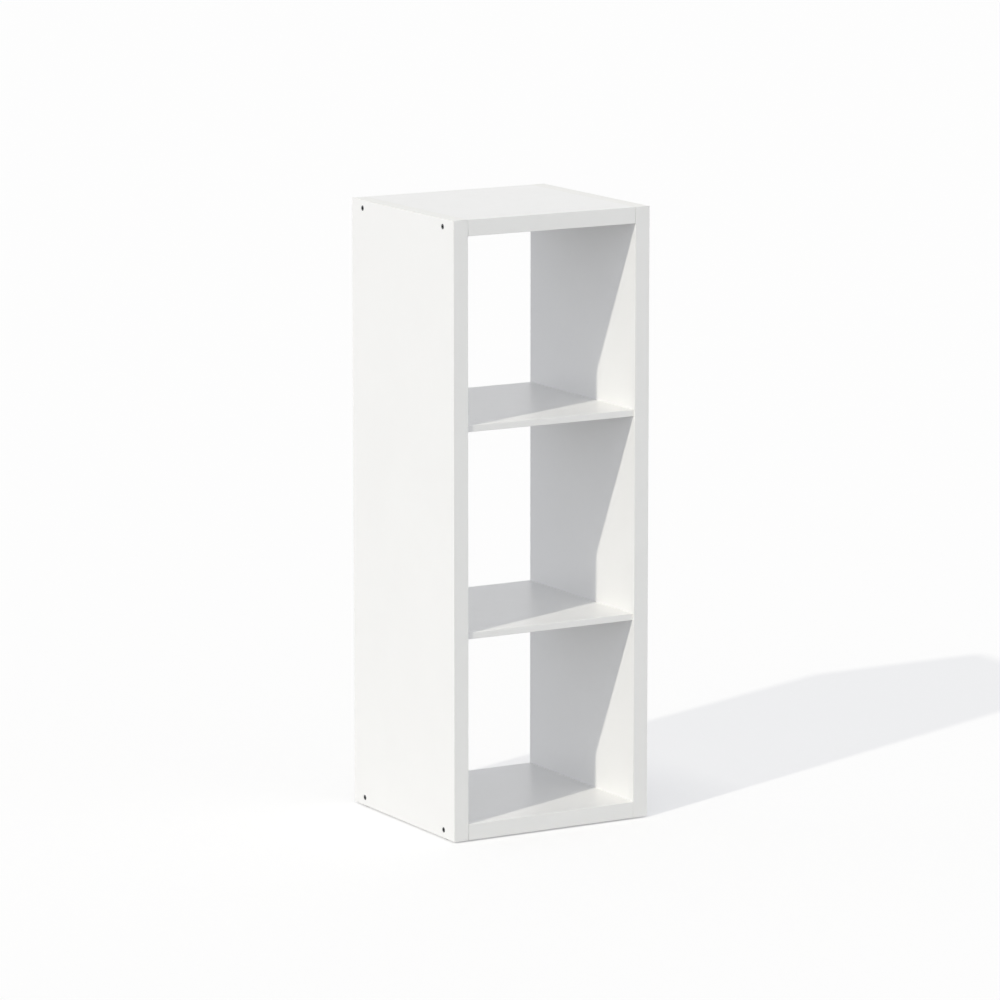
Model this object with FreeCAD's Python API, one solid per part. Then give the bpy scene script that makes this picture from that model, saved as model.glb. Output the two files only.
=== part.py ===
import FreeCAD, Part
import math
import os

# Tall open shelving unit in white, three compartments one above the other, open at the front
# and at the back. Thick hollow-core side, top and bottom panels are screwed together at the
# corners, and two thin shelves sit between the sides on dowels.
# Millimetres, +Z up, front towards -Y, left towards -X, origin on the floor under the middle.

# Carcass
unit_width = 412.0
unit_depth = 378.0
panel_thickness = 30.0
bottom_clear_height = 343.5
middle_clear_height = 369.5
top_clear_height = 345.0

# Shelves, flush with the back and set back a little at the front
shelf_thickness = 12.0
shelf_setback = 5.0

# Hollow-core panels: two fibreboard skins on a frame of particleboard bars
skin_thickness = 3.0
stile_width = 30.0
side_end_rail_width = 45.0
side_shelf_rail_width = 50.0
flat_end_rail_width = 55.0

# Paper core that fills the frames, in cells drawn wider than the paper's own to stay light
paper_thickness = 0.4
cell_width = 200.0
fold_shares = (1 / 6, 1 / 3, 2 / 3, 5 / 6)

# Plastic edge bands, with their outer arrises eased
band_thickness = 1.0
band_chamfer = 0.4

# Corner screws, driven through the sides into the ends of the top and bottom panels
screw_length = 70.0
screw_diameter = 7.0
screw_head_diameter = 10.0
screw_head_height = 2.8
screw_socket_width = 4.0
screw_socket_depth = 3.0
screw_sink = 0.2
screw_inset = 40.0

# Dowels that carry the shelves
shelf_dowel_length = 30.0
shelf_dowel_diameter = 6.0
shelf_dowel_side_depth = 12.0
shelf_dowel_inset = 50.0

# Square rubber pads stuck under the sides
pad_height = 3.0
pad_width = 20.0
pad_inset = 40.0

# Room around every fixing in its hole, and the reach of a cut past the face it opens
clearance = 0.1
overrun = 1.0

# Levels and limits that follow from the sizes above
carcass_bottom = pad_height
bottom_inner = carcass_bottom + panel_thickness
lower_shelf_bottom = bottom_inner + bottom_clear_height
lower_shelf_top = lower_shelf_bottom + shelf_thickness
upper_shelf_bottom = lower_shelf_top + middle_clear_height
upper_shelf_top = upper_shelf_bottom + shelf_thickness
top_inner = upper_shelf_top + top_clear_height
carcass_top = top_inner + panel_thickness
shelf_levels = {
    "lower": (lower_shelf_bottom, lower_shelf_top),
    "upper": (upper_shelf_bottom, upper_shelf_top),
}
panel_levels = {
    "bottom": (carcass_bottom, bottom_inner),
    "top": (top_inner, carcass_top),
}

side_outer = unit_width / 2
side_inner = side_outer - panel_thickness
front = -unit_depth / 2
back = unit_depth / 2
shelf_front = front + shelf_setback

# Depth taken by skins and stiles, the same in the sides and in the top and bottom panels
banded_depth = (front + band_thickness, back - band_thickness)
core_depth = (banded_depth[0] + stile_width, banded_depth[1] - stile_width)
band_faces = {"front": front, "back": back}
band_depths = {
    "front": (front, banded_depth[0]),
    "back": (banded_depth[1], back),
}
stile_depths = {
    "front": (banded_depth[0], core_depth[0]),
    "back": (core_depth[1], banded_depth[1]),
}

origin = FreeCAD.Vector(0, 0, 0)
across = FreeCAD.Vector(1, 0, 0)
inwards = FreeCAD.Vector(0, 1, 0)
up = FreeCAD.Vector(0, 0, 1)
full_turn = 360
hexagon_sides = 6

nodes = {}


def middle(span):
    """Halfway between two limits."""
    return sum(span) / len(span)


def about(centre, width):
    """The two limits of a width centred on a place."""
    return (centre - width / 2, centre + width / 2)


def block(x_span, y_span, z_span):
    """A rectangular board between three pairs of limits."""
    corner = FreeCAD.Vector(x_span[0], y_span[0], z_span[0])
    sizes = [span[1] - span[0] for span in (x_span, y_span, z_span)]
    return Part.makeBox(*sizes, corner)


def turned(profile, base, axis):
    """A turned solid from (radius, distance along the axis) points, with the axis set at a base."""
    points = [FreeCAD.Vector(radius, 0, distance) for radius, distance in profile]
    face = Part.Face(Part.makePolygon(points + points[:1]))
    solid = face.revolve(origin, up, full_turn)
    solid.Placement = FreeCAD.Placement(base, FreeCAD.Rotation(up, axis))
    return solid


def eased(band, axis_name, level):
    """An edge band with the arrises of its outer face taken off."""
    arrises = []
    for edge in band.Edges:
        if all(math.isclose(getattr(v.Point, axis_name), level) for v in edge.Vertexes):
            arrises.append(edge)
    return band.makeChamfer(band_chamfer, arrises)


def bored(piece, rooms):
    """A piece with room cut in it for the fixings that pass into it."""
    return piece.cut(rooms).removeSplitter()


def mirrored(piece):
    """The same piece on the other side of the unit."""
    return piece.mirror(origin, across)


def add(name, *pieces):
    """Keep the solids of one node."""
    nodes[name] = [solid for piece in pieces for solid in piece.Solids]


# Fixings, each as the solid itself and as the room that its hole gives it

def screw(base, axis):
    """A flush corner screw with a hexagon socket, its head sunk just under the face at its base."""
    body = turned(screw_profile(screw_sink, 0), base, axis)
    radius = screw_socket_width / 2 / math.cos(math.pi / hexagon_sides)
    turn = 2 * math.pi / hexagon_sides
    corners = []
    for step in range(hexagon_sides + 1):
        angle = step * turn
        corners.append(FreeCAD.Vector(radius * math.cos(angle), radius * math.sin(angle), 0))
    depth = screw_sink + screw_socket_depth
    socket = Part.Face(Part.makePolygon(corners)).extrude(up * depth)
    socket.Placement = FreeCAD.Placement(base, FreeCAD.Rotation(up, axis))
    return body.cut(socket)


def screw_room(base, axis):
    """The stepped hole that takes a corner screw."""
    return turned(screw_profile(-overrun, clearance), base, axis)


def screw_profile(start, grow):
    """Half outline of the screw: a low round head and a plain shank."""
    head = screw_head_diameter / 2 + grow
    shank = screw_diameter / 2 + grow
    head_end = screw_sink + screw_head_height
    end = screw_length + grow
    return ((0, start), (head, start), (head, head_end), (shank, head_end), (shank, end), (0, end))


def dowel(base, axis, grow=0):
    """A shelf dowel, or with some growth the pair of facing holes that takes it."""
    radius = shelf_dowel_diameter / 2 + grow
    start = base - axis * grow
    return Part.makeCylinder(radius, shelf_dowel_length + grow + grow, start, axis)


def foot_pad(base):
    """A square pad that stands on the floor."""
    return block(about(base.x, pad_width), about(base.y, pad_width), (base.z, pad_height))


# Places of the fixings: a base point and a direction towards the middle of the unit

def places(side, start, insets, levels):
    """Bases on one side of the unit, near its front and back, at the given levels."""
    bases = []
    for level in levels:
        bases.append(FreeCAD.Vector(side * start, front + insets[0], level))
        bases.append(FreeCAD.Vector(side * start, back - insets[1], level))
    return bases


corner_levels = [middle(span) for span in panel_levels.values()]
shelf_middles = [middle(span) for span in shelf_levels.values()]
shelf_dowel_start = side_inner + shelf_dowel_side_depth
shelf_dowel_insets = (shelf_setback + shelf_dowel_inset, shelf_dowel_inset)
side_middle = middle((side_inner, side_outer))

screws = {"left": [], "right": []}
dowels = []
foot_pads = []
rooms = []
for side, side_name in ((-1, "left"), (1, "right")):
    axis = across * -side
    for base in places(side, side_outer, (screw_inset, screw_inset), corner_levels):
        screws[side_name].append(screw(base, axis))
        rooms.append(screw_room(base, axis))
    for base in places(side, shelf_dowel_start, shelf_dowel_insets, shelf_middles):
        dowels.append(dowel(base, axis))
        rooms.append(dowel(base, axis, clearance))
    for base in places(side, side_middle, (pad_inset, pad_inset), (0,)):
        foot_pads.append(foot_pad(base))


# Paper core

def strip_outline(run, depth):
    """Outline of one paper strip as (along, across) points, folded to and fro over its depth."""
    folds = max(1, round(run / (cell_width * math.sqrt(3))))
    fold = run / folds
    slant = math.atan2(depth - paper_thickness, fold * (fold_shares[1] - fold_shares[0]))
    mitre = paper_thickness / 2 * math.tan(slant / 2)
    low = (0, paper_thickness)
    high = (depth - paper_thickness, depth)
    sides = ([(0, low[0])], [(0, low[1])])
    for number in range(folds):
        bends = [fold * (number + share) for share in fold_shares]
        for bend, level, lean in zip(bends, (low, high, high, low), (1, 1, -1, -1)):
            sides[0].append((bend + lean * mitre, level[0]))
            sides[1].append((bend - lean * mitre, level[1]))
    sides[0].append((run, low[0]))
    sides[1].append((run, low[1]))
    return sides[0] + sides[1][::-1]


def paper_core(x_span, y_span, z_span, along):
    """A bay of folded strips side by side from front to back, glued where their flats meet."""
    spans = {"x": x_span, "z": z_span}
    run = spans[along][1] - spans[along][0]
    through = [name for name in spans if name != along][0]
    along_axis, through_axis = (across, up) if along == "x" else (up, across)
    corner = FreeCAD.Vector(x_span[0], y_span[0], z_span[0])
    bay_depth = y_span[1] - y_span[0]
    strips = max(1, round(bay_depth / (cell_width / 2)))
    pitch = bay_depth / strips
    outline = strip_outline(run, pitch)
    core = []
    for number in range(strips):
        points = []
        for along_place, depth_place in outline:
            if number % 2:
                depth_place = pitch - depth_place
            place = along_axis * along_place + inwards * (number * pitch + depth_place)
            points.append(corner + place)
        face = Part.Face(Part.makePolygon(points + points[:1]))
        core.append(face.extrude(through_axis * (spans[through][1] - spans[through][0])))
    return core


# Side panels: built on the right and mirrored to the left

def add_side(name, *pieces):
    """Keep a piece of the right side panel and its mirror image in the left one."""
    add("right_side_" + name, *pieces)
    add("left_side_" + name, *[mirrored(piece) for piece in pieces])


def side_panels():
    """Skins, frame bars, paper core and edge bands of the two sides."""
    panel_x = (side_inner, side_outer)
    core_x = (side_inner + skin_thickness, side_outer - skin_thickness)
    panel_z = (carcass_bottom, carcass_top)
    banded_z = (panel_z[0] + band_thickness, panel_z[1] - band_thickness)
    stile_z = (banded_z[0] + side_end_rail_width, banded_z[1] - side_end_rail_width)
    skins = {"inner_skin": (side_inner, core_x[0]), "outer_skin": (core_x[1], side_outer)}
    for name, skin_x in skins.items():
        add_side(name, bored(block(skin_x, banded_depth, banded_z), rooms))
    for name, stile_y in stile_depths.items():
        add_side(name + "_stile", bored(block(core_x, stile_y, stile_z), rooms))
    end_rails = {"bottom_rail": (banded_z[0], stile_z[0]), "top_rail": (stile_z[1], banded_z[1])}
    for name, rail_z in end_rails.items():
        add_side(name, bored(block(core_x, banded_depth, rail_z), rooms))
    bay_limits = [stile_z[0]]
    for name, level in zip(shelf_levels, shelf_middles):
        rail_z = about(level, side_shelf_rail_width)
        add_side(name + "_shelf_rail", bored(block(core_x, core_depth, rail_z), rooms))
        bay_limits += rail_z
    bay_limits.append(stile_z[1])
    bays = []
    for bay_z in zip(bay_limits[::2], bay_limits[1::2]):
        bays += paper_core(core_x, core_depth, bay_z, "z")
    add_side("paper_core", *bays)
    for name, band_y in band_depths.items():
        band = block(panel_x, band_y, panel_z)
        add_side(name + "_edge_band", eased(band, "y", band_faces[name]))
    bottom_band = block(panel_x, banded_depth, (panel_z[0], banded_z[0]))
    add_side("bottom_edge_band", eased(bottom_band, "z", panel_z[0]))
    top_band = block(panel_x, banded_depth, (banded_z[1], panel_z[1]))
    add_side("top_edge_band", eased(top_band, "z", panel_z[1]))


# Top and bottom panels, between the sides

def flat_panels():
    """Skins, frame bars, paper core and edge bands of the top and bottom panels."""
    panel_x = (-side_inner, side_inner)
    core_x = (panel_x[0] + flat_end_rail_width, panel_x[1] - flat_end_rail_width)
    for panel, panel_z in panel_levels.items():
        core_z = (panel_z[0] + skin_thickness, panel_z[1] - skin_thickness)
        prefix = panel + "_panel_"
        add(prefix + "lower_skin", block(panel_x, banded_depth, (panel_z[0], core_z[0])))
        add(prefix + "upper_skin", block(panel_x, banded_depth, (core_z[1], panel_z[1])))
        end_rails = {"left": (panel_x[0], core_x[0]), "right": (core_x[1], panel_x[1])}
        for name, rail_x in end_rails.items():
            add(prefix + name + "_rail", bored(block(rail_x, banded_depth, core_z), rooms))
        for name, stile_y in stile_depths.items():
            add(prefix + name + "_stile", block(core_x, stile_y, core_z))
        add(prefix + "paper_core", *paper_core(core_x, core_depth, core_z, "x"))
        for name, band_y in band_depths.items():
            band = block(panel_x, band_y, panel_z)
            add(prefix + name + "_edge_band", eased(band, "y", band_faces[name]))


# Shelves

def shelves():
    """The two thin shelves, each a board with a band on its front and back edges."""
    shelf_x = (-side_inner, side_inner)
    board_y = (shelf_front + band_thickness, banded_depth[1])
    for name, shelf_z in shelf_levels.items():
        prefix = name + "_shelf_"
        add(prefix + "board", bored(block(shelf_x, board_y, shelf_z), rooms))
        front_band = block(shelf_x, (shelf_front, board_y[0]), shelf_z)
        add(prefix + "front_edge_band", eased(front_band, "y", shelf_front))
        back_band = block(shelf_x, (board_y[1], back), shelf_z)
        add(prefix + "back_edge_band", eased(back_band, "y", back))


side_panels()
flat_panels()
shelves()
for side_name, side_screws in screws.items():
    add(side_name + "_corner_screws", *side_screws)
add("shelf_dowels", *dowels)
add("foot_pads", *foot_pads)

os.makedirs("parts", exist_ok=True)
for name, solids in nodes.items():
    shape = solids[0] if len(solids) == 1 else Part.makeCompound(solids)
    shape.exportStep(os.path.join("parts", name + ".step"))
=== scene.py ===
"""Finishes, fixings and studio for a white open shelving unit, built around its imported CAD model."""

import math

import bmesh
import bpy
from bpy.props import FloatProperty, FloatVectorProperty, IntProperty, PointerProperty
from mathutils import Matrix, Vector


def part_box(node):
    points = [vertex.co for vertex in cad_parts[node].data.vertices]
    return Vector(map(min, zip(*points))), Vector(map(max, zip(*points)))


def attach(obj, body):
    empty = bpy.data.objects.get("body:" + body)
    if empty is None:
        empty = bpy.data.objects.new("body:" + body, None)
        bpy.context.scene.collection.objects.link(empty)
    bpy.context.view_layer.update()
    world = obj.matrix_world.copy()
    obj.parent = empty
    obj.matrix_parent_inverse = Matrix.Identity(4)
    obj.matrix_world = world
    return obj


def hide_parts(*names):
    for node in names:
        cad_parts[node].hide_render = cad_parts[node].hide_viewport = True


bl_info = {
    "name": "Open Shelving Unit",
    "version": (1, 0, 0),
    "blender": (4, 5, 0),
    "location": "3D View > Sidebar > Shelving",
    "description": "Dresses the CAD model of an open shelving unit and lights it for a picture",
    "category": "Object",
}

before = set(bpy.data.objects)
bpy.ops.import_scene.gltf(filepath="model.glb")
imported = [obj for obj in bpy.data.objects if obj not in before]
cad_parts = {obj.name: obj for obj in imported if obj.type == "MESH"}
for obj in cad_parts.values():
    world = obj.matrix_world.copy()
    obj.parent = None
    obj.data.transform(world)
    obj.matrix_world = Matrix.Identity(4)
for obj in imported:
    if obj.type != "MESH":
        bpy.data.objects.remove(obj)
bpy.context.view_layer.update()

MM = 0.001
X, Y, Z = 0, 1, 2
NEAR = 1e-6
FULL_TURN = 2 * math.pi
SIDES = ("left", "right")
FLAT_PANELS = ("top", "bottom")
ROUND_STEPS = 4
GROOVE_STEPS = 1


# Colours, nodes and materials

def linear(hex_colour):
    """An sRGB hex colour as linear red, green and blue."""
    channels = []
    for start in (1, 3, 5):
        value = int(hex_colour[start:start + 2], 16) / 255
        low = value <= 0.04045
        channels.append(value / 12.92 if low else ((value + 0.055) / 1.055) ** 2.4)
    return tuple(channels)


def per_metre(size_mm):
    """The texture scale at which a pattern repeats at a real size in millimetres."""
    return 1 / (size_mm * MM)


def add_node(tree, kind, inputs=None, stops=(), **settings):
    """Adds a node with its settings, its inputs as values or links, and the stops of a colour ramp."""
    made = tree.nodes.new(kind)
    for name, value in settings.items():
        setattr(made, name, value)
    for key, value in (inputs or {}).items():
        if isinstance(value, bpy.types.NodeSocket):
            tree.links.new(value, made.inputs[key])
        else:
            made.inputs[key].default_value = value
    for number, (place, colour) in enumerate(stops):
        elements = made.color_ramp.elements
        element = elements[number] if number < len(elements) else elements.new(place)
        element.position = place
        element.color = (*colour, 1)
    return made


def new_material(name):
    """An empty node material, its tree and the Object coordinates that its patterns follow."""
    material = bpy.data.materials.new(name)
    material.use_nodes = True
    tree = material.node_tree
    tree.nodes.clear()
    return material, tree, add_node(tree, "ShaderNodeTexCoord").outputs["Object"]


def show(tree, surface):
    """Links a shader to the material's output."""
    add_node(tree, "ShaderNodeOutputMaterial", {"Surface": surface})


def shaded(colour, share):
    """A colour at a share of its brightness."""
    return tuple(channel * share for channel in colour)


def white_lacquered_fibreboard(colours):
    """Roller-coated acrylic lacquer on sanded fibreboard."""
    # An even satin white whose gloss breaks up a little in the peel that the roller leaves
    material, tree, place = new_material("white_lacquered_fibreboard")
    coat = add_node(tree, "ShaderNodeTexNoise",
                    {"Vector": place, "Scale": per_metre(140), "Detail": 3.0, "Roughness": 0.6})
    white = add_node(tree, "ShaderNodeValToRGB", {"Fac": coat.outputs["Fac"]},
                     stops=((0.3, shaded(colours.lacquer, 0.985)), (0.7, colours.lacquer)))
    film = add_node(tree, "ShaderNodeTexNoise",
                    {"Vector": place, "Scale": per_metre(18), "Detail": 4.0})
    satin = add_node(tree, "ShaderNodeMapRange",
                     {"Value": film.outputs["Fac"], "From Min": 0.3, "From Max": 0.7,
                      "To Min": 0.3, "To Max": 0.37})
    # The real peel is about 0.8 mm wide: it is drawn at 2.5 mm, so that it shows in a close view
    peel = add_node(tree, "ShaderNodeTexNoise",
                    {"Vector": place, "Scale": per_metre(2.5), "Detail": 1.0})
    relief = add_node(tree, "ShaderNodeBump",
                      {"Height": peel.outputs["Fac"], "Strength": 0.25, "Distance": 0.05 * MM})
    shader = add_node(tree, "ShaderNodeBsdfPrincipled",
                      {"Base Color": white.outputs["Color"], "Roughness": satin.outputs["Result"],
                       "Normal": relief.outputs["Normal"], "IOR": 1.46})
    show(tree, shader.outputs["BSDF"])
    return material


def white_abs_edging(colours):
    """Extruded ABS strip, pearl-embossed and trimmed flush."""
    # A touch denser than the lacquer, with a fine pearl grain from the embossing roller
    material, tree, place = new_material("white_abs_edging")
    flow = add_node(tree, "ShaderNodeTexNoise",
                    {"Vector": place, "Scale": per_metre(60), "Detail": 2.0})
    white = add_node(tree, "ShaderNodeValToRGB", {"Fac": flow.outputs["Fac"]},
                     stops=((0.3, shaded(colours.edging, 0.985)), (0.7, colours.edging)))
    # The real pearls are about 0.4 mm wide: they are drawn at 1.2 mm, so that they show
    pearl = add_node(tree, "ShaderNodeTexVoronoi",
                     {"Vector": place, "Scale": per_metre(1.2)}, feature="SMOOTH_F1")
    grip = add_node(tree, "ShaderNodeMapRange",
                    {"Value": pearl.outputs["Distance"], "From Max": 0.8,
                     "To Min": 0.36, "To Max": 0.46})
    relief = add_node(tree, "ShaderNodeBump",
                      {"Height": pearl.outputs["Distance"], "Strength": 0.2, "Distance": 0.03 * MM})
    shader = add_node(tree, "ShaderNodeBsdfPrincipled",
                      {"Base Color": white.outputs["Color"], "Roughness": grip.outputs["Result"],
                       "Normal": relief.outputs["Normal"], "IOR": 1.52})
    show(tree, shader.outputs["BSDF"])
    return material


def particleboard(colours):
    """Pressed wood chips, sawn to bars."""
    # Chips of several browns lie flat beside each other, with small pits where the saw tore them
    material, tree, place = new_material("particleboard")
    chips = add_node(tree, "ShaderNodeTexVoronoi", {"Vector": place, "Scale": per_metre(3.0)})
    grey = add_node(tree, "ShaderNodeSeparateColor", {"Color": chips.outputs["Color"]})
    brown = add_node(tree, "ShaderNodeValToRGB", {"Fac": grey.outputs["Red"]},
                     stops=((0.0, shaded(colours.chips, 0.5)), (0.6, colours.chips),
                            (1.0, shaded(colours.chips, 1.35))))
    relief = add_node(tree, "ShaderNodeBump",
                      {"Height": chips.outputs["Distance"], "Strength": 0.5, "Distance": 0.3 * MM})
    shader = add_node(tree, "ShaderNodeBsdfPrincipled",
                      {"Base Color": brown.outputs["Color"], "Roughness": 0.85,
                       "Normal": relief.outputs["Normal"]})
    show(tree, shader.outputs["BSDF"])
    return material


def kraft_paper(colours):
    """Unbleached kraft paper, folded and glued into cells."""
    # Matt brown paper with long fibres that run darker and lighter along the machine's direction
    material, tree, place = new_material("kraft_paper")
    along = add_node(tree, "ShaderNodeMapping", {"Vector": place, "Scale": (1.0, 6.0, 1.0)})
    fibres = add_node(tree, "ShaderNodeTexNoise",
                      {"Vector": along.outputs["Vector"], "Scale": per_metre(4.0), "Detail": 6.0})
    brown = add_node(tree, "ShaderNodeValToRGB", {"Fac": fibres.outputs["Fac"]},
                     stops=((0.3, shaded(colours.paper, 0.75)), (0.7, colours.paper)))
    relief = add_node(tree, "ShaderNodeBump",
                      {"Height": fibres.outputs["Fac"], "Strength": 0.3, "Distance": 0.05 * MM})
    shader = add_node(tree, "ShaderNodeBsdfPrincipled",
                      {"Base Color": brown.outputs["Color"], "Roughness": 0.92,
                       "Normal": relief.outputs["Normal"]})
    show(tree, shader.outputs["BSDF"])
    return material


def zinc_plated_steel(colours):
    """Cold-headed steel screw, zinc plated and passivated."""
    # A dull blue-grey metal, cloudy from the bath, with a fine grain that keeps highlights soft
    material, tree, place = new_material("zinc_plated_steel")
    cloud = add_node(tree, "ShaderNodeTexNoise",
                     {"Vector": place, "Scale": per_metre(2.0), "Detail": 5.0})
    grey = add_node(tree, "ShaderNodeValToRGB", {"Fac": cloud.outputs["Fac"]},
                    stops=((0.3, shaded(colours.zinc, 0.75)), (0.7, colours.zinc)))
    dull = add_node(tree, "ShaderNodeMapRange",
                    {"Value": cloud.outputs["Fac"], "From Min": 0.3, "From Max": 0.7,
                     "To Min": 0.42, "To Max": 0.3})
    # The plating's crystals are some 0.02 mm wide: they are drawn at 0.25 mm, so that they show
    grain = add_node(tree, "ShaderNodeTexNoise",
                     {"Vector": place, "Scale": per_metre(0.25), "Detail": 2.0})
    relief = add_node(tree, "ShaderNodeBump",
                      {"Height": grain.outputs["Fac"], "Strength": 0.3, "Distance": 0.01 * MM})
    shader = add_node(tree, "ShaderNodeBsdfPrincipled",
                      {"Base Color": grey.outputs["Color"], "Roughness": dull.outputs["Result"],
                       "Normal": relief.outputs["Normal"], "Metallic": 1.0})
    show(tree, shader.outputs["BSDF"])
    return material


def socket_painted_shade(colours):
    """Painted shade for a screw's hexagon socket: a nearly black metal laid in the recess."""
    # Nearly black with a soft sheen, so that the socket's painted shade reads as a dark spot in the
    # head
    material, tree, place = new_material("socket_painted_shade")
    socket_mottle = add_node(tree, "ShaderNodeTexNoise",
                   {"Vector": place, "Scale": per_metre(1.0), "Detail": 3.0})
    black = add_node(tree, "ShaderNodeValToRGB", {"Fac": socket_mottle.outputs["Fac"]},
                     stops=((0.3, shaded(colours.socket, 0.6)), (0.7, colours.socket)))
    sheen = add_node(tree, "ShaderNodeMapRange",
                     {"Value": socket_mottle.outputs["Fac"], "From Min": 0.3, "From Max": 0.7,
                      "To Min": 0.45, "To Max": 0.6})
    shader = add_node(tree, "ShaderNodeBsdfPrincipled",
                      {"Base Color": black.outputs["Color"], "Roughness": sheen.outputs["Result"],
                       "Metallic": 1.0})
    show(tree, shader.outputs["BSDF"])
    return material


def beech(colours):
    """Beech rod, fluted between rollers and cut to dowels."""
    # Pale pinkish wood with close lines along the dowel and the short dark flecks of beech
    material, tree, place = new_material("beech")
    along = add_node(tree, "ShaderNodeMapping", {"Vector": place, "Scale": (0.08, 1.0, 1.0)})
    lines = add_node(tree, "ShaderNodeTexNoise",
                     {"Vector": along.outputs["Vector"], "Scale": per_metre(0.8), "Detail": 4.0})
    pink = add_node(tree, "ShaderNodeValToRGB", {"Fac": lines.outputs["Fac"]},
                    stops=((0.25, shaded(colours.beech, 0.55)), (0.42, shaded(colours.beech, 0.85)),
                           (0.7, colours.beech)))
    relief = add_node(tree, "ShaderNodeBump",
                      {"Height": lines.outputs["Fac"], "Strength": 0.4, "Distance": 0.08 * MM})
    shader = add_node(tree, "ShaderNodeBsdfPrincipled",
                      {"Base Color": pink.outputs["Color"], "Roughness": 0.7,
                       "Normal": relief.outputs["Normal"]})
    show(tree, shader.outputs["BSDF"])
    return material


def grey_rubber(colours):
    """Die-cut rubber sheet with a fine matt skin."""
    # Almost no gloss, a dusty grey and a fine stipple from the press cloth
    material, tree, place = new_material("grey_rubber")
    dust = add_node(tree, "ShaderNodeTexNoise",
                    {"Vector": place, "Scale": per_metre(5.0), "Detail": 4.0})
    grey = add_node(tree, "ShaderNodeValToRGB", {"Fac": dust.outputs["Fac"]},
                    stops=((0.3, shaded(colours.rubber, 0.8)), (0.7, colours.rubber)))
    stipple = add_node(tree, "ShaderNodeTexVoronoi", {"Vector": place, "Scale": per_metre(0.6)})
    relief = add_node(tree, "ShaderNodeBump",
                      {"Height": stipple.outputs["Distance"], "Strength": 0.5,
                       "Distance": 0.1 * MM})
    shader = add_node(tree, "ShaderNodeBsdfPrincipled",
                      {"Base Color": grey.outputs["Color"], "Roughness": 0.82,
                       "Normal": relief.outputs["Normal"], "IOR": 1.52})
    show(tree, shader.outputs["BSDF"])
    return material


# Shared steps of modelling

def rectangle_prism(low, high):
    """A bmesh block between two corners."""
    bm = bmesh.new()
    place = Matrix.LocRotScale((low + high) / 2, None, high - low)
    bmesh.ops.create_cube(bm, size=1.0, matrix=place)
    return bm


def edges_at(bm, axis, level):
    """The edges that lie in the plane at a level along an axis."""
    return [edge for edge in bm.edges if all(abs(v.co[axis] - level) < NEAR for v in edge.verts)]


def round_off(bm, edges, radius, segments):
    """Rounds edges to a radius."""
    bmesh.ops.bevel(bm, geom=edges, offset=radius, offset_type="OFFSET", segments=segments,
                    profile=0.5, affect="EDGES", material=-1)


def draw_out(bm, loop, rise, share):
    """Extrudes a loop of edges up Z, scales the new loop about Z and gives its edges."""
    made = bmesh.ops.extrude_edge_only(bm, edges=loop)["geom"]
    verts = [item for item in made if isinstance(item, bmesh.types.BMVert)]
    bmesh.ops.translate(bm, verts=verts, vec=(0, 0, rise))
    bmesh.ops.scale(bm, verts=verts, vec=(share, share, 1))
    return [item for item in made if isinstance(item, bmesh.types.BMEdge)
            and all(vert in verts for vert in item.verts)]


def add_copy(bm, mesh, matrix):
    """Adds a placed copy of a mesh to a bmesh."""
    before = len(bm.verts)
    bm.from_mesh(mesh)
    bm.verts.ensure_lookup_table()
    bmesh.ops.transform(bm, matrix=matrix, verts=bm.verts[before:])


def as_mesh(bm, name):
    """Closes a bmesh's seams, turns its faces outwards and keeps it as a mesh."""
    bmesh.ops.remove_doubles(bm, verts=bm.verts, dist=NEAR)
    bmesh.ops.recalc_face_normals(bm, faces=bm.faces)
    mesh = bpy.data.meshes.new(name)
    bm.to_mesh(mesh)
    bm.free()
    return mesh


def dress(name, mesh, material, slot, *nodes):
    """Puts a finished mesh in the scene in the place of CAD nodes."""
    mesh.materials.append(material)
    piece = bpy.data.objects.new(name, mesh)
    bpy.context.scene.collection.objects.link(piece)
    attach(piece, "root")
    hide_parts(*nodes)
    return piece


def centres(node, axis, inset):
    """The two places along an axis where the outermost members of a group are centred."""
    low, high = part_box(node)
    return (low[axis] + inset, high[axis] - inset)


# What a user would change

class ShelvingColours(bpy.types.PropertyGroup):
    """Colours of the finishes"""

    lacquer: FloatVectorProperty(
        name="Lacquer", description="White of the panel faces", subtype="COLOR",
        default=linear("#EBEBEA"))
    edging: FloatVectorProperty(
        name="Edging", description="White of the edge bands", subtype="COLOR",
        default=linear("#EAEAE7"))
    chips: FloatVectorProperty(
        name="Particleboard", description="Middle brown of the chips", subtype="COLOR",
        default=linear("#B58E5F"))
    paper: FloatVectorProperty(
        name="Kraft paper", description="Brown of the paper core", subtype="COLOR",
        default=linear("#B08A5B"))
    zinc: FloatVectorProperty(
        name="Zinc plating", description="Grey of the screws", subtype="COLOR",
        default=linear("#585A5D"))
    # Painted shade: the nearly black tone that darkens the screws' sockets
    socket: FloatVectorProperty(
        name="Socket steel", description="Dark tone of the bare steel in the screws' sockets",
        subtype="COLOR", default=linear("#1C1C1D"))
    beech: FloatVectorProperty(
        name="Beech", description="Light tone of the dowels", subtype="COLOR",
        default=linear("#D9B48A"))
    rubber: FloatVectorProperty(
        name="Rubber", description="Grey of the foot pads", subtype="COLOR",
        default=linear("#5A5B5C"))


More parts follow.
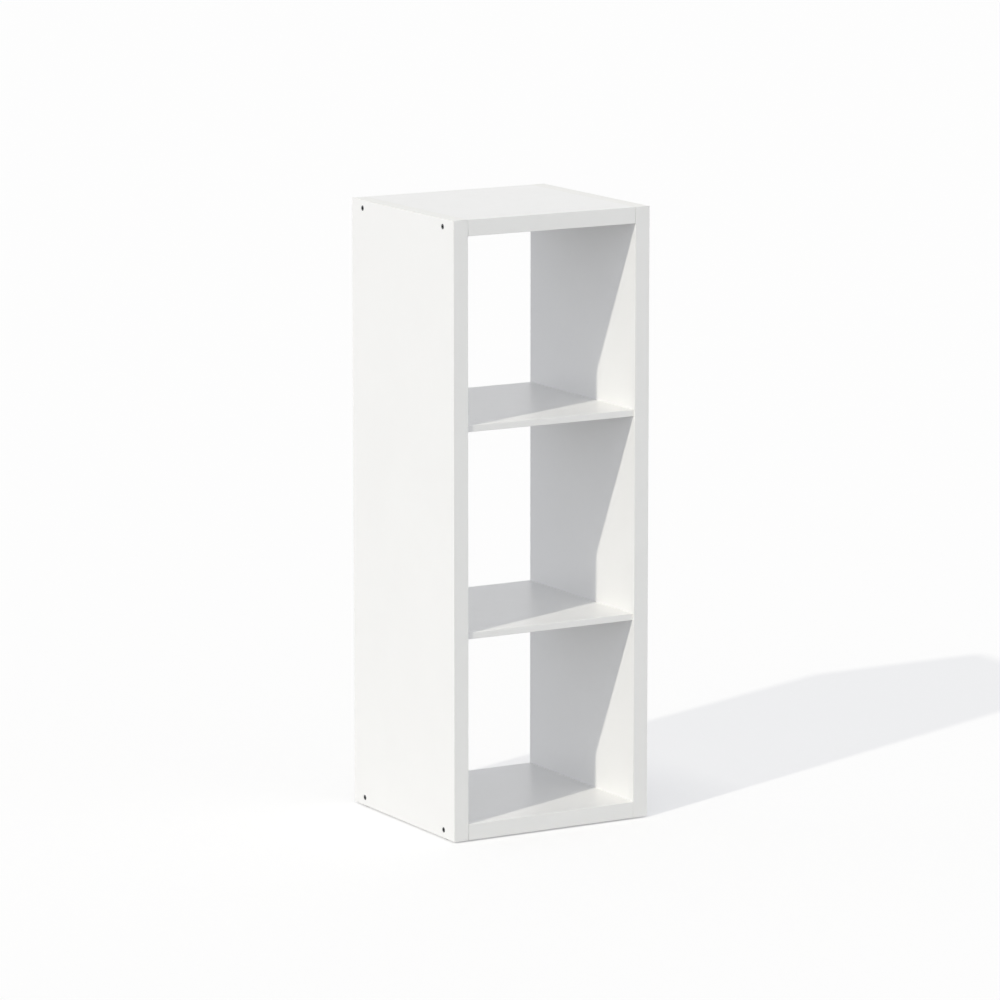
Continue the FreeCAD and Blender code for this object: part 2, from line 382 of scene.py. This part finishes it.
class ShelvingSizes(bpy.types.PropertyGroup):
    """Sizes of the details"""

    arris_radius: FloatProperty(
        name="Arris radius", description="Rounding of the outer edges of a band",
        default=0.5 * MM, unit="LENGTH")
    glue_line: FloatProperty(
        name="Glue line", description="Fine groove where a band meets its panel",
        default=0.06 * MM, unit="LENGTH")
    joint_gap: FloatProperty(
        name="Joint gap", description="Gap between the sides and the ends of what they hold",
        default=0.25 * MM, unit="LENGTH")
    head_diameter: FloatProperty(
        name="Screw head", description="Diameter of a corner screw's head",
        default=10 * MM, unit="LENGTH")
    head_height: FloatProperty(
        name="Head height", description="Thickness of the screw head",
        default=2.8 * MM, unit="LENGTH")
    socket_width: FloatProperty(
        name="Socket", description="Width of the hexagon socket across its flats",
        default=4 * MM, unit="LENGTH")
    shank_diameter: FloatProperty(
        name="Shank", description="Diameter of the plain shank and of the thread's crest",
        default=7 * MM, unit="LENGTH")
    core_diameter: FloatProperty(
        name="Thread core", description="Diameter at the root of the thread",
        default=4.8 * MM, unit="LENGTH")
    thread_pitch: FloatProperty(
        name="Thread pitch", description="Rise of the thread in one turn",
        default=3 * MM, unit="LENGTH")
    thread_turns: IntProperty(
        name="Thread turns", description="Number of turns of the thread", default=12)
    dowel_diameter: FloatProperty(
        name="Dowel", description="Diameter of a shelf dowel", default=6 * MM, unit="LENGTH")
    dowel_length: FloatProperty(
        name="Dowel length", description="Length of a shelf dowel", default=30 * MM, unit="LENGTH")
    dowel_flutes: IntProperty(
        name="Flutes", description="Number of grooves along a dowel", default=16)
    pad_width: FloatProperty(
        name="Foot pad", description="Width of a square foot pad", default=20 * MM, unit="LENGTH")
    cell_width: FloatProperty(
        name="Paper cell", description="Width of a cell of the paper core",
        default=20 * MM, unit="LENGTH")
    paper_thickness: FloatProperty(
        name="Paper", description="Thickness of the kraft paper", default=0.3 * MM, unit="LENGTH")


class ShelvingStudio(bpy.types.PropertyGroup):
    """Camera, light and floor"""

    camera_azimuth: FloatProperty(
        name="Camera azimuth", description="Turn of the camera round the unit from its front",
        default=math.radians(-30.17), subtype="ANGLE")
    camera_distance: FloatProperty(
        name="Camera distance", description="Distance over the floor from the unit's middle",
        default=10.4115, unit="LENGTH")
    camera_height: FloatProperty(
        name="Camera height", description="Height of the camera over the floor",
        default=2.4843, unit="LENGTH")
    aim_height: FloatProperty(
        name="Aim height", description="Height of the point that the camera looks at",
        default=0.5891, unit="LENGTH")
    lens: FloatProperty(
        name="Lens", description="Focal length in millimetres on a 36 mm sensor", default=205.78)
    key_azimuth: FloatProperty(
        name="Key azimuth", description="Turn of the key light round the unit from its front",
        default=math.radians(-69), subtype="ANGLE")
    key_elevation: FloatProperty(
        name="Key elevation", description="Height of the key light over the horizon",
        default=math.radians(37.7), subtype="ANGLE")
    key_width: FloatProperty(
        name="Key width", description="Angle that the key light fills, which softens shadows",
        default=math.radians(1.2), subtype="ANGLE")
    key_strength: FloatProperty(
        name="Key strength", description="Strength of the key light", default=1.786)
    key_colour: FloatVectorProperty(
        name="Key colour", description="Slightly warm white of the key light", subtype="COLOR",
        default=linear("#FEFAEE"))
    fill_horizon: FloatProperty(
        name="Fill at horizon", description="Strength of the light all round, low down",
        default=1.872)
    fill_zenith: FloatProperty(
        name="Fill overhead", description="Strength of the light all round, straight up",
        default=0.05)
    fill_colour: FloatVectorProperty(
        name="Fill colour", description="Slightly cool white of the light all round",
        subtype="COLOR", default=linear("#F7F9FF"))
    floor_width: FloatProperty(
        name="Floor", description="Width of the floor", default=80, unit="LENGTH")
    floor_white: FloatVectorProperty(
        name="Floor white", description="White of the floor as it is seen", subtype="COLOR",
        default=linear("#FFFFFF"))
    near_bounce: FloatVectorProperty(
        name="Near bounce", description="Floor tone that lights the unit from close by",
        subtype="COLOR", default=linear("#B0B0B0"))
    far_bounce: FloatVectorProperty(
        name="Far bounce", description="Floor tone that lights the unit from far off",
        subtype="COLOR", default=linear("#939394"))
    bounce_reach: FloatProperty(
        name="Bounce reach", description="Distance at which the near tone has faded to the far one",
        default=1.6, unit="LENGTH")
    floor_glow: FloatProperty(
        name="Floor glow", description="Share of plain white in the floor as it is seen",
        default=0.65, subtype="FACTOR")
    shade_reach: FloatProperty(
        name="Shade reach", description="Distance over which the unit's shade deepens towards it",
        default=0.3, unit="LENGTH")
    shade_depth: FloatProperty(
        name="Shade depth", description="Share of the floor's glow that goes in the deepest shade",
        default=0.7, subtype="FACTOR")


# One operator for each group of like pieces, and one for the stage

class SHELVING_OT_panel_faces(bpy.types.Operator):
    """Finish the boards: lacquer on skins and shelves, bare particleboard inside the panels"""

    bl_idname = "shelving.panel_faces"
    bl_label = "Finish Boards"

    def execute(self, context):
        colours = context.scene.shelving_colours
        lacquer = white_lacquered_fibreboard(colours)
        chips = particleboard(colours)
        finishes = {"_skin": lacquer, "_board": lacquer, "_stile": chips, "_rail": chips}
        for name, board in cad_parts.items():
            for ending, material in finishes.items():
                if name.endswith(ending):
                    board.data.materials.clear()
                    board.data.materials.append(material)
        return {"FINISHED"}


class SHELVING_OT_edge_bands(bpy.types.Operator):
    """Band every edge of the panels and shelves with a strip whose outer arrises are rounded"""

    bl_idname = "shelving.edge_bands"
    bl_label = "Edge Bands"

    def execute(self, context):
        sizes = context.scene.shelving_sizes
        material = white_abs_edging(context.scene.shelving_colours)
        outward = {"front": (Y, 0), "back": (Y, 1), "bottom": (Z, 0), "top": (Z, 1)}
        bands = [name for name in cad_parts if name.endswith("_edge_band")]
        for name in bands:
            face = name.split("_")[-3]
            axis, end = outward[face]
            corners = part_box(name)
            if "_side_" not in name:
                corners[0][X] += sizes.joint_gap
                corners[1][X] -= sizes.joint_gap
            bm = rectangle_prism(*corners)
            glued = edges_at(bm, axis, corners[1 - end][axis])
            outer = edges_at(bm, axis, corners[end][axis])
            round_off(bm, outer, sizes.arris_radius, ROUND_STEPS)
            still_there = [edge for edge in glued if edge.is_valid]
            round_off(bm, still_there, sizes.glue_line, GROOVE_STEPS)
            strip = dress(name.replace("_edge_band", "_edging"), as_mesh(bm, name), material,
                          "white_abs_edging", name)
            strip.data.shade_smooth()
            strip.modifiers.new("flat faces", "WEIGHTED_NORMAL")
        return {"FINISHED"}


class SHELVING_OT_paper_cores(bpy.types.Operator):
    """Fill the panels with folded kraft paper strips that are glued into six-sided cells"""

    bl_idname = "shelving.paper_cores"
    bl_label = "Paper Cores"

    def execute(self, context):
        self.sizes = context.scene.shelving_sizes
        material = kraft_paper(context.scene.shelving_colours)
        for side in SIDES:
            prefix = side + "_side_"
            bars = ("bottom_rail", "lower_shelf_rail", "upper_shelf_rail", "top_rail")
            self.fill(prefix, material, [prefix + bar for bar in bars], Z, X)
        for panel in FLAT_PANELS:
            prefix = panel + "_panel_"
            bars = ("left_rail", "right_rail")
            self.fill(prefix, material, [prefix + bar for bar in bars], X, Z)
        return {"FINISHED"}

    def fill(self, prefix, material, bars, along, through):
        """One panel's core, in the bays between bars that follow each other along an axis."""
        bm = bmesh.new()
        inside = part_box(prefix + "front_stile")
        depth = (inside[1][Y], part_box(prefix + "back_stile")[0][Y])
        wall = (inside[0][through], inside[1][through])
        for before, after in zip(bars, bars[1:]):
            run = (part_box(before)[1][along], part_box(after)[0][along])
            self.fill_bay(bm, run, depth, wall, along, through)
        mesh = as_mesh(bm, prefix + "cells")
        dress(prefix + "paper_cells", mesh, material, "kraft_paper_core", prefix + "paper_core")

    def fill_bay(self, bm, run, depth, wall, along, through):
        """Strips side by side over a bay's depth, every other one turned over."""
        count = round((depth[1] - depth[0]) / (self.sizes.cell_width / 2))
        pitch = (depth[1] - depth[0]) / count
        strip = self.strip(run[1] - run[0], pitch, wall[1] - wall[0])
        for number in range(count):
            turned_over = number % 2
            place = Matrix.Diagonal((0, 0, 0, 1))
            place[along][0] = 1
            place[Y][1] = -1 if turned_over else 1
            place[through][2] = 1
            place[along][3] = run[0]
            place[Y][3] = depth[0] + (number + turned_over) * pitch
            place[through][3] = wall[0]
            add_copy(bm, strip, place)
        bpy.data.meshes.remove(strip)

    def strip(self, run, pitch, height):
        """One folded strip, along X, between Y = 0 and the pitch, standing up Z."""
        glue_film = 0.1 * MM
        folds = round(run / (self.sizes.cell_width * math.sqrt(3)))
        fold = run / folds
        low = glue_film / 2
        high = pitch - glue_film / 2 - self.sizes.paper_thickness
        # Where one fold of a six-sided cell bends, as shares of its run
        line = ((0, low), (1 / 6, low), (1 / 3, high), (2 / 3, high), (5 / 6, low), (1, low))
        bm = bmesh.new()
        bends = [bm.verts.new((share * fold, level, 0)) for share, level in line]
        lines = [bm.edges.new(pair) for pair in zip(bends, bends[1:])]
        for number in range(1, folds):
            copy = bmesh.ops.duplicate(bm, geom=bends + lines)
            moved = [item for item in copy["geom"] if isinstance(item, bmesh.types.BMVert)]
            bmesh.ops.translate(bm, verts=moved, vec=(number * fold, 0, 0))
        bmesh.ops.remove_doubles(bm, verts=bm.verts, dist=NEAR)
        walls = bmesh.ops.extrude_edge_only(bm, edges=bm.edges)
        raised = [item for item in walls["geom"] if isinstance(item, bmesh.types.BMVert)]
        bmesh.ops.translate(bm, verts=raised, vec=(0, 0, height))
        bmesh.ops.recalc_face_normals(bm, faces=bm.faces)
        bmesh.ops.solidify(bm, geom=bm.faces, thickness=self.sizes.paper_thickness)
        return as_mesh(bm, "paper_strip")


class SHELVING_OT_corner_screws(bpy.types.Operator):
    """Screw the corners together, with threaded screws whose flush heads have a hexagon socket"""

    bl_idname = "shelving.corner_screws"
    bl_label = "Corner Screws"

    def execute(self, context):
        sizes = context.scene.shelving_sizes
        colours = context.scene.shelving_colours
        material = zinc_plated_steel(colours)
        # The second material is painted shade for the sockets
        socket_shade = socket_painted_shade(colours)
        sharp = math.radians(35)
        for side, head_end in zip(SIDES, (0, 1)):
            node = side + "_corner_screws"
            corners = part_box(node)
            length = corners[1][X] - corners[0][X]
            screw = self.screw(sizes, length)
            inset = sizes.head_diameter / 2
            turn = Matrix.Rotation(math.radians(90 - 180 * head_end), 4, "Y")
            bm = bmesh.new()
            for y in centres(node, Y, inset):
                for z in centres(node, Z, inset):
                    place = Matrix.Translation((corners[head_end][X], y, z))
                    add_copy(bm, screw, place @ turn)
            bpy.data.meshes.remove(screw)
            group = dress(side + "_threaded_screws", as_mesh(bm, node), material,
                          "zinc_plated_steel", node)
            group.data.materials.append(socket_shade)
            group.data.shade_smooth()
            group.data.set_sharp_from_angle(angle=sharp)
        return {"FINISHED"}

    def screw(self, sizes, length):
        """A screw along Z, from its head's face at 0 to its point."""
        steps = 48
        head = sizes.head_diameter / 2
        shank = sizes.shank_diameter / 2
        core = sizes.core_diameter / 2
        ease = 0.4 * MM
        point = 5 * MM
        threaded = sizes.thread_turns * sizes.thread_pitch
        neck = length - point - threaded
        profile = ((head - ease, 0), (head, ease), (head, sizes.head_height),
                   (shank, sizes.head_height), (shank, neck - ease), (core, neck),
                   (core, length - point), (0, length))
        bm = bmesh.new()
        line = [bm.verts.new((radius, 0, depth)) for radius, depth in profile]
        edges = [bm.edges.new(pair) for pair in zip(line, line[1:])]
        bmesh.ops.spin(bm, geom=line + edges, cent=(0, 0, 0), axis=(0, 0, 1), angle=FULL_TURN,
                       steps=steps, use_merge=True)
        bmesh.ops.remove_doubles(bm, verts=bm.verts, dist=NEAR)
        rim = [edge for edge in bm.edges if edge.is_boundary]
        self.socket(bm, sizes, rim)
        self.thread(bm, sizes, neck)
        return as_mesh(bm, "screw")

    def socket(self, bm, sizes, rim):
        """A hexagon socket with a drilled bottom, drawn in from the rim of the open head."""
        flats = 6
        flat_angle = FULL_TURN / flats
        drill_share = 0.3
        zinc_slot = 0
        shade_slot = 1
        loop = draw_out(bm, rim, 0, 1)
        for vert in {vert for edge in loop for vert in edge.verts}:
            angle = math.atan2(vert.co.y, vert.co.x)
            from_middle = angle % flat_angle - flat_angle / 2
            reach = sizes.socket_width / 2 / math.cos(from_middle)
            vert.co.xy = (reach * math.cos(angle), reach * math.sin(angle))
        depth = sizes.head_height
        head = set(bm.faces)
        for sink, share in ((depth, 1), (depth * drill_share, 0)):
            loop = draw_out(bm, loop, sink, share)
        # The socket's walls and bottom take the painted shade material, the head keeps the zinc
        for face in bm.faces:
            face.material_index = zinc_slot if face in head else shade_slot

    def thread(self, bm, sizes, start):
        """A ridge wound round the core, closed at both ends."""
        steps_in_turn = 24
        steps = steps_in_turn * sizes.thread_turns
        overlap = 0.1 * MM
        half_land = 0.1 * MM
        root = sizes.core_diameter / 2 - overlap
        crest = sizes.shank_diameter / 2
        foot = sizes.thread_pitch / 4
        ridge = ((root, 0), (crest, foot - half_land), (crest, foot + half_land), (root, 2 * foot))
        verts = [bm.verts.new((radius, 0, start + rise)) for radius, rise in ridge]
        face = bm.faces.new(verts)
        bmesh.ops.spin(bm, geom=[face], cent=(0, 0, 0), axis=(0, 0, 1),
                       dvec=(0, 0, sizes.thread_turns * sizes.thread_pitch / steps),
                       angle=FULL_TURN * sizes.thread_turns, steps=steps)


class SHELVING_OT_shelf_dowels(bpy.types.Operator):
    """Set fluted beech dowels between the shelves and the sides"""

    bl_idname = "shelving.shelf_dowels"
    bl_label = "Shelf Dowels"

    def execute(self, context):
        sizes = context.scene.shelving_sizes
        node = "shelf_dowels"
        dowel = self.dowel(sizes)
        inset = sizes.dowel_diameter / 2
        sharp = math.radians(30)
        turn = Matrix.Rotation(math.radians(90), 4, "Y")
        low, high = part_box(node)
        bm = bmesh.new()
        for x in (low[X], high[X] - sizes.dowel_length):
            for y in centres(node, Y, inset):
                for z in centres(node, Z, inset):
                    add_copy(bm, dowel, Matrix.Translation((x, y, z)) @ turn)
        bpy.data.meshes.remove(dowel)
        group = dress("fluted_dowels", as_mesh(bm, node), beech(context.scene.shelving_colours),
                      "beech_dowel", node)
        group.data.shade_smooth()
        group.data.set_sharp_from_angle(angle=sharp)
        return {"FINISHED"}

    def dowel(self, sizes):
        """A dowel along Z with grooves along it and bevelled ends."""
        radius = sizes.dowel_diameter / 2
        end = 1 * MM
        points_in_flute = 4
        groove_share = 0.93
        end_share = 0.8
        bm = bmesh.new()
        ring = bmesh.ops.create_circle(bm, cap_ends=False, radius=radius,
                                       segments=points_in_flute * sizes.dowel_flutes)
        grooves = ring["verts"][::points_in_flute]
        bmesh.ops.scale(bm, verts=grooves, vec=(groove_share, groove_share, 1))
        bmesh.ops.scale(bm, verts=bm.verts, vec=(end_share, end_share, 1))
        loop = list(bm.edges)
        for rise, share in ((end, 1 / end_share), (sizes.dowel_length - 2 * end, 1),
                            (end, end_share)):
            loop = draw_out(bm, loop, rise, share)
        bmesh.ops.holes_fill(bm, edges=bm.edges)
        return as_mesh(bm, "dowel")


class SHELVING_OT_foot_pads(bpy.types.Operator):
    """Stick rubber pads under the sides, with rounded corners and a shallow dish underneath"""

    bl_idname = "shelving.foot_pads"
    bl_label = "Foot Pads"

    def execute(self, context):
        width = context.scene.shelving_sizes.pad_width
        node = "foot_pads"
        low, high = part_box(node)
        pad = self.pad(width, high[Z] - low[Z])
        bm = bmesh.new()
        for x in centres(node, X, width / 2):
            for y in centres(node, Y, width / 2):
                add_copy(bm, pad, Matrix.Translation((x, y, low[Z])))
        bpy.data.meshes.remove(pad)
        group = dress("rubber_pads", as_mesh(bm, node), grey_rubber(context.scene.shelving_colours),
                      "grey_rubber", node)
        group.data.shade_smooth()
        group.modifiers.new("flat faces", "WEIGHTED_NORMAL")
        return {"FINISHED"}

    def pad(self, width, height):
        """A pad that stands at Z = 0, centred on Z."""
        corner = 4 * MM
        corner_steps = 8
        ease = 0.5 * MM
        rim = 3 * MM
        straight_down = -0.99
        half = width / 2
        bm = rectangle_prism(Vector((-half, -half, 0)), Vector((half, half, height)))
        upright = [edge for edge in bm.edges
                   if abs(edge.verts[0].co.z - edge.verts[1].co.z) > height / 2]
        round_off(bm, upright, corner, corner_steps)
        round_off(bm, edges_at(bm, Z, 0), ease, ROUND_STEPS)
        sole = [face for face in bm.faces if face.normal.z < straight_down]
        bmesh.ops.inset_region(bm, faces=sole, thickness=rim, depth=-ease, use_even_offset=True)
        return as_mesh(bm, "pad")


class SHELVING_OT_stage(bpy.types.Operator):
    """Set the unit on a pale floor in soft studio light, seen at the photograph's angle"""

    bl_idname = "shelving.stage"
    bl_label = "Stage"

    def execute(self, context):
        scene = context.scene
        studio = scene.shelving_studio
        scene.view_settings.view_transform = "Standard"
        self.floor(scene, studio)
        self.key_light(scene, studio)
        self.fill_light(scene, studio)
        self.camera(scene, studio)
        return {"FINISHED"}

    def seen(self, tree):
        """1 for what the camera sees, also in gloss and through glass, and 0 for bounced light."""
        path = add_node(tree, "ShaderNodeLightPath").outputs
        mirrored = add_node(tree, "ShaderNodeMath",
                            {0: path["Is Glossy Ray"], 1: path["Is Transmission Ray"]},
                            operation="MAXIMUM")
        return add_node(tree, "ShaderNodeMath",
                        {0: path["Is Camera Ray"], 1: mirrored.outputs["Value"]},
                        operation="MAXIMUM").outputs["Value"]

    def pale_floor(self, studio):
        """A matt floor that is seen white, keeps the unit's shadow and bounces a greyer light."""
        material, tree, place = new_material("pale_floor")
        distance = add_node(tree, "ShaderNodeVectorMath", {0: place}, operation="LENGTH")
        far = add_node(tree, "ShaderNodeMapRange",
                       {"Value": distance.outputs["Value"], "From Max": studio.bounce_reach})
        tone = add_node(tree, "ShaderNodeValToRGB", {"Fac": far.outputs["Result"]},
                        stops=((0.0, studio.near_bounce), (1.0, studio.far_bounce)))
        bounce = add_node(tree, "ShaderNodeBsdfDiffuse", {"Color": tone.outputs["Color"]})
        paint = add_node(tree, "ShaderNodeBsdfDiffuse", {"Color": (*studio.floor_white, 1)})
        # The glow gives way where the unit stands close by, between the floor and the key light
        toward_key = self.key_turn(studio) @ Vector((0, 0, 1))
        aim = add_node(tree, "ShaderNodeCombineXYZ", dict(zip("XYZ", toward_key)))
        open_air = add_node(tree, "ShaderNodeAmbientOcclusion",
                            {"Distance": studio.shade_reach, "Normal": aim.outputs["Vector"]},
                            samples=4)
        share = add_node(tree, "ShaderNodeMapRange",
                         {"Value": open_air.outputs["AO"],
                          "To Min": studio.floor_glow * (1 - studio.shade_depth),
                          "To Max": studio.floor_glow})
        glow = add_node(tree, "ShaderNodeEmission", {"Color": (*studio.floor_white, 1)})
        white = add_node(tree, "ShaderNodeMixShader",
                         {0: share.outputs["Result"], 1: paint.outputs["BSDF"],
                          2: glow.outputs["Emission"]})
        mixed = add_node(tree, "ShaderNodeMixShader",
                         {0: self.seen(tree), 1: bounce.outputs["BSDF"],
                          2: white.outputs["Shader"]})
        show(tree, mixed.outputs["Shader"])
        material.cycles.emission_sampling = "NONE"
        return material

    def floor(self, scene, studio):
        """One wide flat face under the unit."""
        bm = bmesh.new()
        bmesh.ops.create_grid(bm, x_segments=1, y_segments=1, size=studio.floor_width / 2)
        mesh = as_mesh(bm, "floor")
        mesh.materials.append(self.pale_floor(studio))
        floor = bpy.data.objects.new("floor", mesh)
        scene.collection.objects.link(floor)

    def key_turn(self, studio):
        """The turn of the key lamp, whose own Z points to where its light comes from."""
        turn = Matrix.Rotation(studio.key_azimuth, 4, "Z")
        tilt = Matrix.Rotation(math.pi / 2 - studio.key_elevation, 4, "X")
        return turn @ tilt

    def key_light(self, scene, studio):
        """One light from the left, with crisp shadows."""
        lamp = bpy.data.lights.new("key", "SUN")
        lamp.energy = studio.key_strength
        lamp.angle = studio.key_width
        lamp.color = studio.key_colour
        key = bpy.data.objects.new("key", lamp)
        key.matrix_world = self.key_turn(studio)
        scene.collection.objects.link(key)

    def fill_light(self, scene, studio):
        """A light that is even all round and fades upwards, behind a background that is seen white."""
        world = bpy.data.worlds.new("studio")
        world.use_nodes = True
        tree = world.node_tree
        tree.nodes.clear()
        toward = add_node(tree, "ShaderNodeTexCoord").outputs["Generated"]
        height = add_node(tree, "ShaderNodeSeparateXYZ", {"Vector": toward}).outputs["Z"]
        strength = add_node(tree, "ShaderNodeMapRange",
                            {"Value": height, "To Min": studio.fill_horizon,
                             "To Max": studio.fill_zenith})
        fill = add_node(tree, "ShaderNodeBackground",
                        {"Color": (*studio.fill_colour, 1),
                         "Strength": strength.outputs["Result"]})
        white = add_node(tree, "ShaderNodeBackground", {"Color": (1, 1, 1, 1), "Strength": 1.0})
        mixed = add_node(tree, "ShaderNodeMixShader",
                         {0: self.seen(tree), 1: fill.outputs["Background"],
                          2: white.outputs["Background"]})
        add_node(tree, "ShaderNodeOutputWorld", {"Surface": mixed.outputs["Shader"]})
        scene.world = world

    def camera(self, scene, studio):
        """The camera at the photograph's place, aimed at the middle of the unit."""
        sensor_mm = 36
        farthest_m = 200
        lens = bpy.data.cameras.new("camera")
        lens.sensor_width = sensor_mm
        lens.lens = studio.lens
        lens.clip_end = farthest_m
        camera = bpy.data.objects.new("camera", lens)
        turn = Matrix.Rotation(studio.camera_azimuth, 4, "Z")
        place = turn @ Vector((0, -studio.camera_distance, studio.camera_height))
        aim = Vector((0, 0, studio.aim_height))
        camera.location = place
        camera.rotation_euler = (aim - place).to_track_quat("-Z", "Y").to_euler()
        scene.collection.objects.link(camera)
        scene.camera = camera


class SHELVING_PT_build(bpy.types.Panel):
    """Steps and settings of the shelving unit"""

    bl_idname = "SHELVING_PT_build"
    bl_label = "Open Shelving"
    bl_space_type = "VIEW_3D"
    bl_region_type = "UI"
    bl_category = "Shelving"

    def draw(self, context):
        for operator in OPERATORS:
            self.layout.operator(operator.bl_idname)
        for name in SETTINGS:
            settings = getattr(context.scene, name)
            box = self.layout.box()
            box.label(text=settings.bl_rna.description)
            for key in settings.bl_rna.properties.keys():
                if key not in ("rna_type", "name"):
                    box.prop(settings, key)


SETTINGS = {
    "shelving_colours": ShelvingColours,
    "shelving_sizes": ShelvingSizes,
    "shelving_studio": ShelvingStudio,
}
OPERATORS = (
    SHELVING_OT_panel_faces,
    SHELVING_OT_edge_bands,
    SHELVING_OT_paper_cores,
    SHELVING_OT_corner_screws,
    SHELVING_OT_shelf_dowels,
    SHELVING_OT_foot_pads,
    SHELVING_OT_stage,
)
CLASSES = (*SETTINGS.values(), *OPERATORS, SHELVING_PT_build)


def register():
    """Registers the classes and hangs their settings on the scene."""
    for kind in CLASSES:
        bpy.utils.register_class(kind)
    for name, kind in SETTINGS.items():
        setattr(bpy.types.Scene, name, PointerProperty(type=kind))


def unregister():
    """Takes the settings and the classes away again."""
    for name in SETTINGS:
        delattr(bpy.types.Scene, name)
    for kind in reversed(CLASSES):
        bpy.utils.unregister_class(kind)


def main():
    """Builds every piece and the stage."""
    register()
    bpy.ops.shelving.panel_faces()
    bpy.ops.shelving.edge_bands()
    bpy.ops.shelving.paper_cores()
    bpy.ops.shelving.corner_screws()
    bpy.ops.shelving.shelf_dowels()
    bpy.ops.shelving.foot_pads()
    bpy.ops.shelving.stage()


if __name__ == "__main__":
    main()
